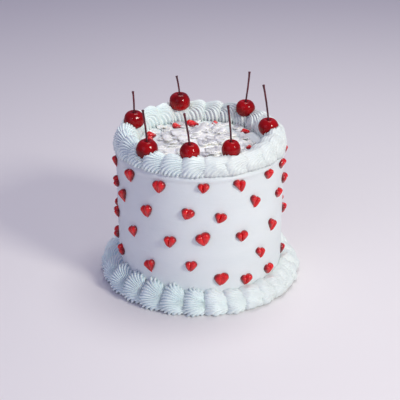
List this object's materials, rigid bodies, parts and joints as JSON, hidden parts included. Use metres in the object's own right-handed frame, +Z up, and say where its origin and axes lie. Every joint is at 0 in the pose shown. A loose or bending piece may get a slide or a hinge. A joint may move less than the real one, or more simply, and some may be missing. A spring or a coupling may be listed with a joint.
{
  "type": "black forest cake",
  "caption": "Tall round celebration cake in white cream with piped shell borders, small red piped hearts, white shavings and stemmed cherries.",
  "frame": {"origin": "centre of the drum's flat underside, where the cake rests", "axes": "+Z up, -Y the front of the cake as pictured, +X to the right of the front"},
  "size_m": [0.2056, 0.2053, 0.2024],
  "materials": {
    "coat": "smooth white whipped cream, soft sheen",
    "piping": "ridged white whipped cream, soft sheen",
    "shavings": "matt white shavings",
    "cherry": "glossy wet fruit skin",
    "stem": "satin stalk"
  },
  "bodies": {
    "root": {"cake": "coat", "foot_border": "piping", "crown_border": "piping", "shavings": "shavings", "cherry_back_left": "cherry", "cherry_left": "cherry", "cherry_front_left": "cherry", "cherry_front": "cherry", "cherry_front_right": "cherry", "cherry_right": "cherry", "cherry_back_right": "cherry", "stem_back_left": "stem", "stem_left": "stem", "stem_front_left": "stem", "stem_front": "stem", "stem_front_right": "stem", "stem_right": "stem", "stem_back_right": "stem"}
  },
  "joints": []
}
